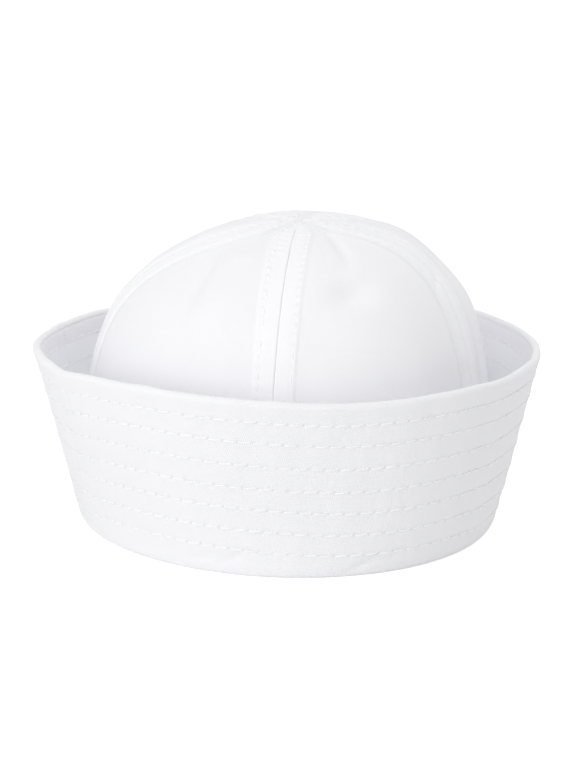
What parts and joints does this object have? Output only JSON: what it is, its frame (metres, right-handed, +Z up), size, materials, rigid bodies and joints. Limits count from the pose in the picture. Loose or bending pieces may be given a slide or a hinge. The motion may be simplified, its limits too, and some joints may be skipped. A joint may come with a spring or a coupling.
{
  "type": "sailor hat",
  "caption": "White cotton sailor hat: domed crown of sewn gores inside a wide upturned brim with a rolled rim, quilted in rows. Open head hollow from below.",
  "frame": {"origin": "centre of the hat's outline on the surface it rests on", "axes": "+Z up through the crown, -Y towards the front seam, +X to the wearer's left, seen from the front on the right"},
  "size_m": [0.2276, 0.2254, 0.1366],
  "materials": {
    "crown_cloth": "white cotton twill, matt",
    "brim_cloth": "white cotton twill, matt, quilted in seven rows",
    "thread": "white cotton thread"
  },
  "bodies": {
    "root": {"brim_outer": "brim_cloth", "brim_facing": "brim_cloth", "crown_gore_front_left": "crown_cloth", "crown_gore_front_right": "crown_cloth", "crown_gore_right": "crown_cloth", "crown_gore_back": "crown_cloth", "crown_gore_left": "crown_cloth"}
  },
  "joints": []
}
